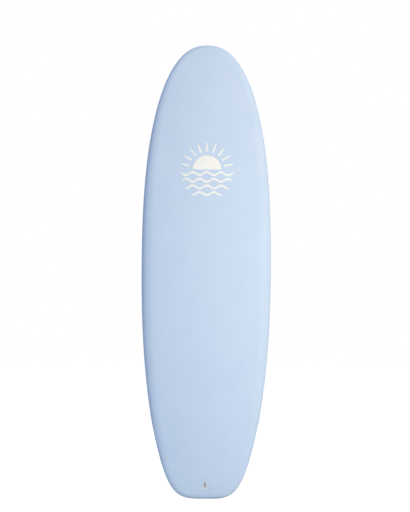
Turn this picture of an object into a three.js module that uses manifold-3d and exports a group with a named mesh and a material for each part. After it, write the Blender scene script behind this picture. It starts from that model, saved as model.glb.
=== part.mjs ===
// A soft-deck surfboard of mid length, standing on its tail with the deck towards -Y.
// +Z runs from tail to nose, X across the board, and the fins stand out towards +Y.
// Lengths are in millimetres, angles in radians.

import * as THREE from 'three';
import { mergeVertices } from 'three/addons/utils/BufferGeometryUtils.js';
import Module from 'manifold-3d';

const wasm = await Module();
wasm.setup();

const degree = Math.PI / 180;
const quarterTurn = Math.PI / 2;
const halfTurn = Math.PI;

// Board, overall
const boardLength = 1981;
const boardWidth = 568;
const boardThickness = 76;
const noseThickness = 28;
const tailThickness = 36;
const noseRocker = 115;
const tailRocker = 48;
const widePointShare = 0.5;
const flatSpotShare = 0.47;
const thickestShare = 0.5;
const noseRockerPower = 2.6;
const tailRockerPower = 2.2;
const noseFoilPower = 2.4;
const tailFoilPower = 2.2;

// Plan outline. The tail half is two cubic curves, whose points are shares of half the width
// and of the length. The nose half is a superellipse with two powers.
const tailCornerShares = [[0.1101, 0], [0.4455, 0], [0.5748, 0.0147], [0.76, 0.1231]];
const hipShares = [[0.76, 0.1231], [0.829, 0.1635], [1, 0.2859], [1, widePointShare]];
const noseLengthPower = 2.5;
const noseWidthPower = 2.33;
const cornerSteps = 8;
const hipSteps = 9;
const noseSteps = 14;

// Cross-section. Ribs run from the rim to a spine line that stops short of both ends.
const spineTailInset = 110;
const spineNoseInset = 170;
const railHeightShare = 0.42;
const railBandShare = 0.1;
const crownShare = 0.16;
const deckRollShare = 0.79;
const bottomRollShare = 0.32;
const rollPower = 2.5;
const deckRollSteps = 5;
const crownSteps = 3;
const seamTurn = 60 * degree;
const seamSteps = 3;
const innerRollSteps = 2;
const bottomFlatSteps = 2;

// Sandwich of skins, core and stringers
const skinThickness = 5;
const glueGap = 0.3;
const seamGap = 0.6;
const stringerWidth = 5;
const stringerSpacing = 115;

// Leash plug
const plugTailInset = 59;
const plugRecessWidth = 12;
const plugRecessLength = 29;
const plugRecessDepth = 15.5;
const plugRim = 3.5;
const plugFloor = 4.5;
const plugFlangeDepth = 2.5;
const plugFlangeLedge = 1;
const plugProud = 0.4;
const leashPinRadius = 2.25;
const leashPinDepth = 6;

// Fins
const finBase = 115;
const finDepth = 118;
const finThickness = 7;
const finTipThickness = 2.6;
const finEdgeThickness = 1.2;
const finThickestPower = 0.7;
const leadingShares = [[0.5, 0], [0.33, 0.42], [-0.36, 1.04], [-0.7, 0.92]];
const trailingShares = [[-0.5, 0], [-0.34, 0.36], [-0.52, 0.72], [-0.7, 0.92]];
const finStations = 11;
const foilSteps = 6;
const centreFinTailInset = 95;
const sideFinTailInset = 290;
const sideFinRailInset = 50;
const sideFinCant = 6 * degree;
const sideFinToe = 3 * degree;

// Tabs, fin boxes and set screws
const tabLength = 22;
const tabWidth = 6.4;
const tabDepth = 13;
const tabPitch = 54;
const tabRoot = 1;
const boxSideWall = 2.4;
const boxEndWall = 17;
const boxFloor = 4.5;
const boxFlangeDepth = 2;
const boxFlangeLedge = 3;
const screwRadius = 2.4;
const screwLength = 6.5;
const screwBevel = 0.5;
const screwTilt = 40 * degree;
const screwTipDepth = 8;
const screwFlats = 2.4;
const screwSocketDepth = 3;
const screwSides = 12;
const hexSides = 6;

// Gaps and helpers
const fitGap = 0.3;
const cutOverrun = 40;
const slopeStep = 1;
const endArcSteps = 5;
const boreSides = 14;

// Colours as seen, with roughness and metalness
const foamBlue = surface(0xc2d6ee, 0.85, 0);
const slickWhite = surface(0xeef0f1, 0.3, 0);
const beadFoam = surface(0xf6f6f3, 0.9, 0);
const paleWood = surface(0xc9a877, 0.7, 0);
const offWhitePlastic = surface(0xe4e7e6, 0.45, 0);
const darkNylon = surface(0x24272b, 0.4, 0);
const stainless = surface(0xb9bcc0, 0.3, 1);

function surface(color, roughness, metalness) {
  return new THREE.MeshStandardMaterial({ color, roughness, metalness });
}

// Solids

// A closed geometry as a solid that can be cut. Seams are merged and empty triangles dropped.
function solidFrom(geometry) {
  const bare = geometry.clone();
  bare.deleteAttribute('normal');
  bare.deleteAttribute('uv');
  const merged = mergeVertices(bare);
  const corners = merged.index.array;
  const kept = [];
  for (let i = 0; i < corners.length; i += 3) {
    const [a, b, c] = corners.slice(i, i + 3);
    if (a !== b && b !== c && c !== a) kept.push(a, b, c);
  }
  const vertProperties = merged.attributes.position.array;
  const triVerts = new Uint32Array(kept);
  return new wasm.Manifold(new wasm.Mesh({ numProp: 3, vertProperties, triVerts }));
}

function geometryFrom(solid) {
  const mesh = solid.getMesh();
  const geometry = new THREE.BufferGeometry();
  geometry.setAttribute('position', new THREE.BufferAttribute(mesh.vertProperties, 3));
  geometry.setIndex(new THREE.BufferAttribute(mesh.triVerts, 1));
  geometry.computeVertexNormals();
  return geometry;
}

function addPiece(parent, name, solid, material) {
  const mesh = new THREE.Mesh(geometryFrom(solid), material);
  mesh.name = name;
  parent.add(mesh);
}

// A block between two corners.
function block(low, high) {
  const size = new THREE.Vector3().subVectors(high, low);
  const middle = new THREE.Vector3().addVectors(low, high).multiplyScalar(0.5);
  return new THREE.BoxGeometry(size.x, size.y, size.z).translate(middle.x, middle.y, middle.z);
}

// A slab with half-round ends, long along Z, between two heights on Y.
function ovalSlab(width, length, low, high) {
  const radius = width / 2;
  const straight = length / 2 - radius;
  const shape = new THREE.Shape();
  shape.absarc(0, straight, radius, 0, halfTurn, false);
  shape.absarc(0, -straight, radius, halfTurn, 2 * halfTurn, false);
  const options = { depth: high - low, bevelEnabled: false, curveSegments: endArcSteps };
  const slab = new THREE.ExtrudeGeometry(shape, options);
  return slab.rotateX(-quarterTurn).translate(0, low, 0);
}

// Board form

// Height of the bottom's centre line over its lowest point.
function rockerAt(z) {
  const flat = flatSpotShare * boardLength;
  if (z > flat) return noseRocker * ((z - flat) / (boardLength - flat)) ** noseRockerPower;
  return tailRocker * ((flat - z) / flat) ** tailRockerPower;
}

// Thickness of the board on its centre line.
function thicknessAt(z) {
  const thickest = thickestShare * boardLength;
  if (z > thickest) {
    const share = (z - thickest) / (boardLength - thickest);
    return boardThickness - (boardThickness - noseThickness) * share ** noseFoilPower;
  }
  const share = (thickest - z) / thickest;
  return boardThickness - (boardThickness - tailThickness) * share ** tailFoilPower;
}

function curveFrom(shares, acrossUnit, alongUnit) {
  const place = ([across, along]) => new THREE.Vector2(across * acrossUnit, along * alongUnit);
  return new THREE.CubicBezierCurve(...shares.map(place));
}

// Half of the plan outline from the tail end to just short of the nose tip, as (x, z).
function halfOutline() {
  const halfWidth = boardWidth / 2;
  const corner = curveFrom(tailCornerShares, halfWidth, boardLength).getPoints(cornerSteps);
  const hip = curveFrom(hipShares, halfWidth, boardLength).getPoints(hipSteps);
  const points = [...corner, ...hip.slice(1)];
  const widePoint = widePointShare * boardLength;
  const noseLength = boardLength - widePoint;
  for (let step = 1; step < noseSteps; step += 1) {
    const turn = quarterTurn * step / noseSteps;
    const x = halfWidth * Math.cos(turn) ** (2 / noseWidthPower);
    const z = widePoint + noseLength * Math.sin(turn) ** (2 / noseLengthPower);
    points.push(new THREE.Vector2(x, z));
  }
  return points;
}

// Each rib goes from a rim point to the spine, and the spine points are spread as the rim points are.
function makeRibs() {
  const right = halfOutline();
  const left = right.map((point) => new THREE.Vector2(-point.x, point.y)).reverse();
  const rim = [...right, new THREE.Vector2(0, boardLength), ...left];
  const spineLength = boardLength - spineTailInset - spineNoseInset;
  return rim.map((point) => {
    const spine = new THREE.Vector2(0, spineTailInset + spineLength * point.y / boardLength);
    return { rim: point, spine, length: point.distanceTo(spine), thickness: thicknessAt(point.y) };
  });
}

const ribs = makeRibs();

// Stations go round the section. side is 1 on the deck and -1 on the bottom. turn goes from 0 at the rail
// to a quarter turn where the roll ends. inward is the share of the way from there to the spine.
const deckStations = [];
for (let step = 0; step < crownSteps; step += 1) {
  deckStations.push({ side: 1, turn: quarterTurn, inward: 1 - step / crownSteps, pastSeam: false });
}
for (let step = 0; step <= deckRollSteps; step += 1) {
  const turn = quarterTurn * (1 - step / deckRollSteps);
  deckStations.push({ side: 1, turn, inward: 0, pastSeam: false });
}
const railStations = [];
for (let step = 0; step <= seamSteps; step += 1) {
  railStations.push({ side: -1, turn: seamTurn * step / seamSteps, inward: 0, pastSeam: false });
}
const bottomStations = [];
for (let step = 1; step <= innerRollSteps; step += 1) {
  const turn = seamTurn + (quarterTurn - seamTurn) * step / innerRollSteps;
  bottomStations.push({ side: -1, turn, inward: 0, pastSeam: false });
}
for (let step = 1; step <= bottomFlatSteps; step += 1) {
  bottomStations.push({ side: -1, turn: quarterTurn, inward: step / bottomFlatSteps, pastSeam: false });
}
const seamStation = { side: -1, turn: seamTurn, inward: 0, pastSeam: true };

// A point of a rib at a station, a given depth under the skin's outer face.
// The roll is a superellipse whose two half-axes shrink by the depth, so the skin keeps its thickness.
function ribPoint(rib, station, depth) {
  const roll = (station.side > 0 ? deckRollShare : bottomRollShare) * rib.thickness;
  const turn = station.turn + (station.pastSeam ? seamGap / roll : 0);
  const reach = Math.max(Math.cos(turn), 0) ** (2 / rollPower);
  const outerInset = roll * (1 - reach) + station.inward * (rib.length - roll);
  const inset = outerInset + depth * reach;
  const alongShare = inset / rib.length;
  const x = rib.rim.x * (1 - alongShare);
  const z = THREE.MathUtils.lerp(rib.rim.y, rib.spine.y, alongShare);
  const thickness = thicknessAt(z);
  const railHeight = railHeightShare * thickness;
  const halfBand = railBandShare * thickness / 2;
  const crown = crownShare * thickness;
  const rise = Math.sin(turn);
  const spread = 1 - outerInset / rib.length;
  let height = railHeight - halfBand - (railHeight - halfBand - depth) * rise;
  if (station.side > 0) {
    const shoulder = thickness - railHeight - halfBand - crown;
    height = railHeight + halfBand + (shoulder - depth) * rise + crown * (1 - spread ** 2);
  }
  return new THREE.Vector3(x, -rockerAt(z) - height, z);
}

function ringsAt(stations, depth) {
  return stations.map((station) => ribs.map((rib) => ribPoint(rib, station, depth)));
}

// Triangles between neighbouring rings. Both facings split each quad along the same diagonal.
function sheet(rings, outward) {
  const corners = [];
  for (let i = 0; i + 1 < rings.length; i += 1) {
    for (let j = 0; j < ribs.length; j += 1) {
      const next = (j + 1) % ribs.length;
      const a = rings[i][j];
      const b = rings[i + 1][j];
      const c = rings[i + 1][next];
      const d = rings[i][next];
      if (outward) corners.push(a, b, c, a, c, d);
      else corners.push(a, c, b, a, d, c);
    }
  }
  return corners;
}

function solidFromCorners(corners) {
  const positions = new Float32Array(corners.flatMap((corner) => corner.toArray()));
  const geometry = new THREE.BufferGeometry();
  geometry.setAttribute('position', new THREE.BufferAttribute(positions, 3));
  return solidFrom(geometry);
}

// A skin between its outer and inner faces, closed along the seam. The seam is the last or first ring.
function skinSolid(stations, seamIsLast) {
  const outer = ringsAt(stations, 0);
  const inner = ringsAt(stations, skinThickness);
  const edge = seamIsLast ? [outer.at(-1), inner.at(-1)] : [inner[0], outer[0]];
  return solidFromCorners([...sheet(outer, true), ...sheet(edge, true), ...sheet(inner, false)]);
}

// Hardware seats. A seat frame has Y out of the surface and Z along the board.

function slopeOf(heightAt, z) {
  return (heightAt(z + slopeStep) - heightAt(z - slopeStep)) / (2 * slopeStep);
}

function deckHeightAt(z) {
  const spread = Math.max(0, 1 - z / spineTailInset);
  return rockerAt(z) + thicknessAt(z) * (1 - crownShare * spread ** 2);
}

function deckSeat(z) {
  const seat = new THREE.Group();
  seat.position.set(0, -deckHeightAt(z), z);
  seat.rotation.x = Math.atan2(-slopeOf(deckHeightAt, z), -1);
  return seat;
}

function bottomSeat(x, z, toe, cant) {
  const seat = new THREE.Group();
  seat.position.set(x, -rockerAt(z), z);
  seat.rotation.set(Math.atan(slopeOf(rockerAt, z)), toe, cant, 'XYZ');
  return seat;
}

function solidAt(seat, geometry) {
  seat.updateMatrix();
  return solidFrom(geometry.applyMatrix4(seat.matrix));
}

// Half-width of the plan outline at a place along the board, between its nearest points.
function halfWidthAt(z) {
  const points = halfOutline();
  const after = points.findIndex((point) => point.y > z);
  const low = points[after - 1];
  const high = points[after];
  return THREE.MathUtils.mapLinear(z, low.y, high.y, low.x, high.x);
}

// Leash plug

const plugWidth = plugRecessWidth + 2 * plugRim;
const plugLength = plugRecessLength + 2 * plugRim;
const plugDepth = plugRecessDepth + plugFloor;
const plugBodyWidth = plugWidth - 2 * plugFlangeLedge;
const plugBodyLength = plugLength - 2 * plugFlangeLedge;
const plugSeat = deckSeat(plugTailInset);

function leashPlug() {
  const flange = solidFrom(ovalSlab(plugWidth, plugLength, -plugFlangeDepth, plugProud));
  const body = solidFrom(ovalSlab(plugBodyWidth, plugBodyLength, -plugDepth, 0));
  const recess = solidFrom(ovalSlab(plugRecessWidth, plugRecessLength, -plugRecessDepth, cutOverrun));
  const bore = new THREE.CylinderGeometry(
    leashPinRadius + fitGap, leashPinRadius + fitGap, plugWidth + cutOverrun, boreSides);
  bore.rotateZ(quarterTurn).translate(0, -leashPinDepth, 0);
  return flange.add(body).subtract(recess).subtract(solidFrom(bore));
}

function leashPin() {
  const length = plugBodyWidth - 2 * fitGap;
  const pin = new THREE.CylinderGeometry(leashPinRadius, leashPinRadius, length, boreSides);
  return solidFrom(pin.rotateZ(quarterTurn).translate(0, -leashPinDepth, 0));
}

function plugPocket() {
  const grow = 2 * fitGap;
  const ledge = ovalSlab(plugWidth + grow, plugLength + grow, -plugFlangeDepth - fitGap, cutOverrun);
  const well = ovalSlab(plugBodyWidth + grow, plugBodyLength + grow, -plugDepth - fitGap, cutOverrun);
  return solidAt(plugSeat, ledge).add(solidAt(plugSeat, well));
}

// Fins

// One fin with Y out of its box, Z towards the nose and its base at baseLift.
// flatSide is 0 for a fin with two curved faces, or the sign of X on which the face is flat.
function finSolid(flatSide, baseLift) {
  const leading = curveFrom(leadingShares, finBase, finDepth);
  const trailing = curveFrom(trailingShares, finBase, finDepth);
  const halfEdge = finEdgeThickness / 2;
  const halfBase = finThickness / 2;
  const rings = [];
  for (let station = 0; station <= finStations; station += 1) {
    const rise = station / finStations;
    const front = leading.getPoint(rise);
    const back = trailing.getPoint(rise);
    const halfMost = THREE.MathUtils.lerp(finThickness, finTipThickness, rise) / 2;
    const closing = station === finStations ? 0 : 1;
    const faces = [1, -1].map((face) => {
      const points = [];
      for (let step = 0; step <= foilSteps; step += 1) {
        const chord = (1 - Math.cos(halfTurn * step / foilSteps)) / 2;
        const swell = Math.sin(halfTurn * chord ** finThickestPower);
        const half = halfEdge + (halfMost - halfEdge) * swell;
        const middle = flatSide * (halfBase - half);
        const place = new THREE.Vector2().lerpVectors(front, back, chord);
        points.push(new THREE.Vector3((middle + face * half) * closing, place.y + baseLift, place.x));
      }
      return points;
    });
    rings.push([...faces[0], ...faces[1].reverse()]);
  }
  const corners = [];
  const count = rings[0].length;
  for (let i = 0; i < finStations; i += 1) {
    for (let j = 0; j < count; j += 1) {
      const next = (j + 1) % count;
      corners.push(rings[i][j], rings[i][next], rings[i + 1][next]);
      corners.push(rings[i][j], rings[i + 1][next], rings[i + 1][j]);
    }
  }
  for (let j = 0; j < foilSteps; j += 1) {
    const base = rings[0];
    const across = count - 1 - j;
    corners.push(base[j], base[across], base[j + 1]);
    corners.push(base[j + 1], base[across], base[across - 1]);
  }
  let fin = solidFromCorners(corners);
  for (const place of tabPlaces()) {
    const low = new THREE.Vector3(-tabWidth / 2, -tabDepth, place - tabLength / 2);
    const high = new THREE.Vector3(tabWidth / 2, baseLift + tabRoot, place + tabLength / 2);
    fin = fin.add(solidFrom(block(low, high)));
  }
  return fin;
}

function tabPlaces() {
  return [-tabPitch / 2, tabPitch / 2];
}

// The screw's place in the fin's frame. Its tip corner stops a gap short of the tab's side.
const screwTipReach = tabWidth / 2 + fitGap + screwRadius * Math.cos(screwTilt);

function placeScrew(object, side, along) {
  object.position.set(side * screwTipReach, -screwTipDepth, along);
  object.rotation.z = -side * screwTilt;
}

// A set screw from its bevelled tip at the origin up along Y, with a hexagonal socket at its head.
function screwSolid() {
  const outline = [
    new THREE.Vector2(0, 0),
    new THREE.Vector2(screwRadius - screwBevel, 0),
    new THREE.Vector2(screwRadius, screwBevel),
    new THREE.Vector2(screwRadius, screwLength),
    new THREE.Vector2(0, screwLength),
  ];
  const shank = solidFrom(new THREE.LatheGeometry(outline, screwSides));
  const socketRadius = screwFlats / 2 / Math.cos(halfTurn / hexSides);
  const socket = new THREE.CylinderGeometry(socketRadius, socketRadius, 2 * screwSocketDepth, hexSides);
  return shank.subtract(solidFrom(socket.translate(0, screwLength, 0)));
}

// Fin boxes

// The flange is wide enough for the screw bores' mouths and long enough for both slots.
const boreRadius = screwRadius + fitGap;
const boreMouthReach = screwTipReach + screwTipDepth * Math.tan(screwTilt) + boreRadius / Math.cos(screwTilt);
const boxFlangeWidth = 2 * (boreMouthReach + boxSideWall);
const boxFlangeLength = tabPitch + tabLength + 2 * boxEndWall;
const boxDepth = tabDepth + boxFloor;
const boxBodyWidth = boxFlangeWidth - 2 * boxFlangeLedge;
const boxBodyLength = boxFlangeLength - 2 * boxFlangeLedge;

// The box is built in its seat's frame. The slots and screw bores lean with the fin.
function finBoxSolid(cant, screwSide) {
  const flange = solidFrom(ovalSlab(boxFlangeWidth, boxFlangeLength, -boxFlangeDepth, 0));
  const body = solidFrom(ovalSlab(boxBodyWidth, boxBodyLength, -boxDepth, -boxFlangeDepth / 2));
  const lean = new THREE.Group();
  lean.rotation.z = cant;
  let box = flange.add(body);
  const slotHalfWidth = tabWidth / 2 + fitGap;
  const slotHalfLength = tabLength / 2 + fitGap;
  for (const place of tabPlaces()) {
    const low = new THREE.Vector3(-slotHalfWidth, -tabDepth - fitGap, place - slotHalfLength);
    const high = new THREE.Vector3(slotHalfWidth, cutOverrun, place + slotHalfLength);
    const bore = new THREE.CylinderGeometry(boreRadius, boreRadius, cutOverrun, screwSides);
    const borePlace = new THREE.Group();
    placeScrew(borePlace, screwSide, place);
    borePlace.updateMatrix();
    bore.translate(0, cutOverrun / 2, 0).applyMatrix4(borePlace.matrix);
    box = box.subtract(solidAt(lean, block(low, high))).subtract(solidAt(lean, bore));
  }
  return box;
}

function boxPocket(seat) {
  const grow = 2 * fitGap;
  const ledgeDepth = boxFlangeDepth + fitGap;
  const ledge = ovalSlab(boxFlangeWidth + grow, boxFlangeLength + grow, -ledgeDepth, cutOverrun);
  const well = ovalSlab(boxBodyWidth + grow, boxBodyLength + grow, -boxDepth - fitGap, cutOverrun);
  return solidAt(seat, ledge).add(solidAt(seat, well));
}

// The three fin places. side is -1 left, 0 centre, 1 right, seen from the deck with the nose up.
const finPlaces = [['left', -1], ['centre', 0], ['right', 1]].map(([name, side]) => {
  const tailInset = side === 0 ? centreFinTailInset : sideFinTailInset;
  const z = tailInset + finBase / 2;
  const x = side * (halfWidthAt(z) - sideFinRailInset);
  return { name, side, x, z, toe: -side * sideFinToe, cant: -side * sideFinCant };
});

// Assembly

const board = new THREE.Group();
const boxPockets = finPlaces.map((place) => boxPocket(bottomSeat(place.x, place.z, place.toe, 0)));
const deckPocket = plugPocket();

const deckSkin = skinSolid([...deckStations, ...railStations], true).subtract(deckPocket);
let bottomSkin = skinSolid([seamStation, ...bottomStations], false);
const coreStations = [...deckStations, ...railStations, ...bottomStations];
let core = solidFromCorners(sheet(ringsAt(coreStations, skinThickness + glueGap), true));
core = core.subtract(deckPocket);
for (const pocket of boxPockets) {
  bottomSkin = bottomSkin.subtract(pocket);
  core = core.subtract(pocket);
}
addPiece(board, 'deck_skin', deckSkin, foamBlue);
addPiece(board, 'bottom_skin', bottomSkin, slickWhite);

// The part of the core between two places across the board.
function coreBetween(low, high) {
  const reach = boardLength + cutOverrun;
  const slice = block(new THREE.Vector3(low, -reach, -reach), new THREE.Vector3(high, reach, reach));
  return core.intersect(solidFrom(slice));
}

const stringerPlaces = [['left', -stringerSpacing], ['centre', 0], ['right', stringerSpacing]];
for (const [name, place] of stringerPlaces) {
  const stringer = coreBetween(place - stringerWidth / 2, place + stringerWidth / 2);
  addPiece(board, `stringer_${name}`, stringer, paleWood);
}
const clear = stringerWidth / 2 + glueGap;
const outside = boardWidth / 2 + cutOverrun;
const coreStrips = [
  ['left_outer', -outside, -stringerSpacing - clear],
  ['left_inner', -stringerSpacing + clear, -clear],
  ['right_inner', clear, stringerSpacing - clear],
  ['right_outer', stringerSpacing + clear, outside],
];
for (const [name, low, high] of coreStrips) {
  addPiece(board, `core_${name}`, coreBetween(low, high), beadFoam);
}

addPiece(plugSeat, 'leash_plug', leashPlug(), offWhitePlastic);
addPiece(plugSeat, 'leash_pin', leashPin(), stainless);
board.add(plugSeat);

for (const { name, side, x, z, toe, cant } of finPlaces) {
  const screwSide = side === 0 ? 1 : side;
  const boxSeat = bottomSeat(x, z, toe, 0);
  addPiece(boxSeat, `fin_box_${name}`, finBoxSolid(cant, screwSide), offWhitePlastic);
  board.add(boxSeat);

  const finSeat = bottomSeat(x, z, toe, cant);
  const baseLift = fitGap + Math.tan(Math.abs(cant)) * finThickness / 2;
  addPiece(finSeat, `fin_${name}`, finSolid(-side, baseLift), darkNylon);
  const ends = ['rear', 'front'];
  tabPlaces().forEach((along, index) => {
    const holder = new THREE.Group();
    placeScrew(holder, screwSide, along);
    addPiece(holder, `fin_screw_${name}_${ends[index]}`, screwSolid(), stainless);
    finSeat.add(holder);
  });
  board.add(finSeat);
}

// The origin is under the middle of the whole, at the tail end.
board.updateMatrixWorld(true);
const extent = new THREE.Box3().setFromObject(board);
const middle = extent.getCenter(new THREE.Vector3());
board.position.set(-middle.x, -middle.y, -extent.min.z);

export default board;
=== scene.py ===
# Soft-deck surfboard: finished pieces, materials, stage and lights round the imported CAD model.
# The dictionaries give millimetres unless a note says otherwise.
# X runs across the board, Z from tail to nose, and the deck faces -Y.
import math

import bpy
import numpy as np
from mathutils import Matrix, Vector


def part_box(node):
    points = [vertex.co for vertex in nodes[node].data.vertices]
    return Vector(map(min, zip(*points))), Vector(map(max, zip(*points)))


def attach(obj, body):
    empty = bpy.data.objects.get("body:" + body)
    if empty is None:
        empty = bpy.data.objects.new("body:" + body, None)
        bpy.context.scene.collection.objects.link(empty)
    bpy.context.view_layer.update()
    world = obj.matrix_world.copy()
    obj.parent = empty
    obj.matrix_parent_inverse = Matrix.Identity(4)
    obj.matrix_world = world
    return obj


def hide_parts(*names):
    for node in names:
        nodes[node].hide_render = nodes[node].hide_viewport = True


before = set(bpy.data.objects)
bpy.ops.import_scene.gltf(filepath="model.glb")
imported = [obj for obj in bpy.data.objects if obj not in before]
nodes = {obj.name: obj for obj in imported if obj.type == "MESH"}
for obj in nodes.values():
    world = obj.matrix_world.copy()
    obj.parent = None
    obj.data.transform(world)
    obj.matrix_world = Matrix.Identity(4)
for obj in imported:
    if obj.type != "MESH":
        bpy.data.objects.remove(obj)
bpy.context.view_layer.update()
quarterTurn = math.pi / 2
print("frame loaded:", len(nodes), "nodes")


def addObject(name, data):
    added = bpy.data.objects.new(name, data)
    bpy.context.scene.collection.objects.link(added)
    return added


# Camera

cameraView = {
    "distance": 12.0,  # metres from the board
    "heightSeen": 2.2522,  # metres of the board's plane from the top of the view to its bottom
    "place": (-0.0057, 1.0637),  # metres across and up
    "roll": -0.38,  # degrees, the nose leans a little to the right
}


def makeCamera():
    data = bpy.data.cameras.new("photoCamera")
    data.sensor_width = 36
    data.lens = data.sensor_width * cameraView["distance"] / cameraView["heightSeen"]
    camera = addObject("photoCamera", data)
    across, up = cameraView["place"]
    camera.location = (across, -cameraView["distance"], up)
    camera.rotation_euler = (quarterTurn, math.radians(cameraView["roll"]), 0)
    bpy.context.scene.camera = camera


makeCamera()
print("camera placed")

# Mesh making


def gridQuads(rows, columns):
    # Each quad joins a grid point to its neighbours in the next row and column. The last column meets the first.
    row, column = np.meshgrid(np.arange(rows - 1), np.arange(columns), indexing="ij")
    after = (column + 1) % columns
    corners = [row * columns + column, (row + 1) * columns + column]
    corners += [(row + 1) * columns + after, row * columns + after]
    return np.stack(corners, axis=-1).reshape(-1, 4)


def signedVolume(points, quads):
    # A sixth of the sum of the triple products of each triangle's corners, positive where faces point out.
    a, b, c, d = (points[quads[:, k]] for k in range(4))
    return (np.einsum("ij,ij", np.cross(a, b), c) + np.einsum("ij,ij", np.cross(a, c), d)) / 6


def pieceFromGrid(name, grid, cornerUv=None):
    # The grid is rows x columns x 3, closed round its columns. Equal points are welded, and quads that
    # collapse to a line at a pole or seam go, or become triangles.
    rows, columns = grid.shape[:2]
    quads = gridQuads(rows, columns)
    points, joined = np.unique(np.round(grid.reshape(-1, 3), 5), axis=0, return_inverse=True)
    welded = joined.reshape(-1)[quads]
    if signedVolume(points, welded) < 0:
        quads, welded = quads[:, ::-1], welded[:, ::-1]
    keep = welded != np.roll(welded, -1, axis=1)
    full = keep.all(axis=1) & (welded[:, 0] != welded[:, 2]) & (welded[:, 1] != welded[:, 3])
    three = keep.sum(axis=1) == 3
    triangles = welded[three][keep[three]].reshape(-1, 3)
    mesh = bpy.data.meshes.new(name)
    mesh.from_pydata((points / 1000).tolist(), [], welded[full].tolist() + triangles.tolist())
    if cornerUv is not None:
        corners = np.concatenate([quads[full].reshape(-1), quads[three][keep[three]]])
        layer = mesh.uv_layers.new(name="edgeMap")
        layer.data.foreach_set("uv", (cornerUv.reshape(-1, 2)[corners] / 1000).reshape(-1))
    return addObject(name, mesh)


def bakeModifiers(piece):
    graph = bpy.context.evaluated_depsgraph_get()
    made = bpy.data.meshes.new_from_object(piece.evaluated_get(graph))
    old = piece.data
    piece.modifiers.clear()
    piece.data = made
    bpy.data.meshes.remove(old)


def combine(piece, others, operation):
    # Cuts the other shapes away from the piece, or joins them to it, and removes them.
    for other in others:
        step = piece.modifiers.new("combine", "BOOLEAN")
        step.operation = operation
        step.solver = "EXACT"
        step.object = other
    bakeModifiers(piece)
    for other in others:
        bpy.data.objects.remove(other)


def finishPiece(piece, material, body, replaced=None, sharpAngle=32):
    piece.data.materials.clear()
    piece.data.materials.append(material)
    piece.data.shade_smooth()
    piece.data.set_sharp_from_angle(angle=math.radians(sharpAngle))
    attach(piece, body)
    if replaced:
        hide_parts(replaced)


def bend(start, stop, steps):
    return np.linspace(start, stop, steps + 1)


def stacked(*parts):
    return np.stack(parts, axis=-1)


def roundedOutline(halfAcross, halfAlong, corner, steps):
    # A rectangle with round corners: each point is its corner's middle plus the corner radius along a normal
    # that turns through each quarter. Gives the points and their outward normals.
    turn = np.concatenate([bend(quarter, quarter + 1, steps) for quarter in range(4)]) * quarterTurn
    quarter = np.repeat(np.arange(4), steps + 1)
    signs = np.array([[1, 1], [-1, 1], [-1, -1], [1, -1]])[quarter]
    normals = stacked(np.cos(turn), np.sin(turn))
    middles = signs * [halfAcross - corner, halfAlong - corner]
    return middles + corner * normals, normals


def sweep(outline, profile):
    # Carries the profile round the outline. Each profile row is how far out it lies, its height, and the
    # share of the outline's size that is left, which is 0 where it closes at the middle.
    base, normals = outline
    offset, height, share = (np.array(column, float)[:, None] for column in zip(*profile))
    across = (base[:, 0] + offset * normals[:, 0]) * share
    along = (base[:, 1] + offset * normals[:, 1]) * share
    return stacked(across, height + 0 * across, along)


def rounding(offset, height, radius, start, stop, steps=4):
    # Profile rows on an arc round a centre. Angles are in degrees from straight out, towards up.
    turns = np.radians(bend(start, stop, steps))
    return [(offset + radius * math.cos(t), height + radius * math.sin(t), 1) for t in turns]


def closed(row):
    # As many points as the row has, all at its middle.
    return row.mean(axis=1, keepdims=True) + 0 * row


def turned(points, matrix, place):
    return points @ np.asarray(matrix).T + np.asarray(place)


def turnAbout(axis, angle):
    c, s = math.cos(angle), math.sin(angle)
    return np.array({
        "x": [[1, 0, 0], [0, c, -s], [0, s, c]],
        "y": [[c, 0, s], [0, 1, 0], [-s, 0, c]],
        "z": [[c, -s, 0], [s, c, 0], [0, 0, 1]],
    }[axis])


# Board form

boardForm = {
    "length": 1981, "width": 568, "thickness": 76, "noseThickness": 28, "tailThickness": 36,
    "noseRocker": 115, "tailRocker": 48, "noseRockerPower": 2.6, "tailRockerPower": 2.2,
    "noseFoilPower": 2.4, "tailFoilPower": 2.2,
    "flatSpot": 0.47, "thickest": 0.5, "widePoint": 0.5,  # shares of the length from the tail
    "tailCorner": [(.1101, 0), (.4455, 0), (.5748, .0147), (.76, .1231)],  # shares of half width, of length
    "hip": [(.76, .1231), (.829, .1635), (1, .2859), (1, .5)],
    "noseLengthPower": 2.5, "noseWidthPower": 2.33,
    "spineTailInset": 110, "spineNoseInset": 170,
    "railHeight": 0.42, "railBand": 0.1, "crown": 0.16,  # shares of the thickness
    "deckRoll": 0.79, "bottomRoll": 0.32, "rollPower": 2.5,
    "seamTurn": 60,  # degrees under the rail
    "seamGap": 0.6, "skin": 5,
    "ribSteps": (14, 40, 52, 128),  # tail end, tail corner, hip, nose
}
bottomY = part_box("bottom_skin")[1].y * 1000  # where the lowest line of the bottom lies


def towardsEnds(z, share):
    # How far z has gone from a share of the length towards the nose, and towards the tail: 0 to 1 each.
    length = boardForm["length"]
    start = share * length
    return np.clip((z - start) / (length - start), 0, None), np.clip((start - z) / start, 0, None)


def rocker(z):
    # Power curves that rise from the flat spot to the nose and to the tail.
    f = boardForm
    nose, tail = towardsEnds(z, f["flatSpot"])
    return f["noseRocker"] * nose ** f["noseRockerPower"] + f["tailRocker"] * tail ** f["tailRockerPower"]


def thickness(z):
    # Full at the thickest point, less a power of the distance to each end.
    f = boardForm
    nose, tail = towardsEnds(z, f["thickest"])
    return (f["thickness"] - (f["thickness"] - f["noseThickness"]) * nose ** f["noseFoilPower"]
            - (f["thickness"] - f["tailThickness"]) * tail ** f["tailFoilPower"])


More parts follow.
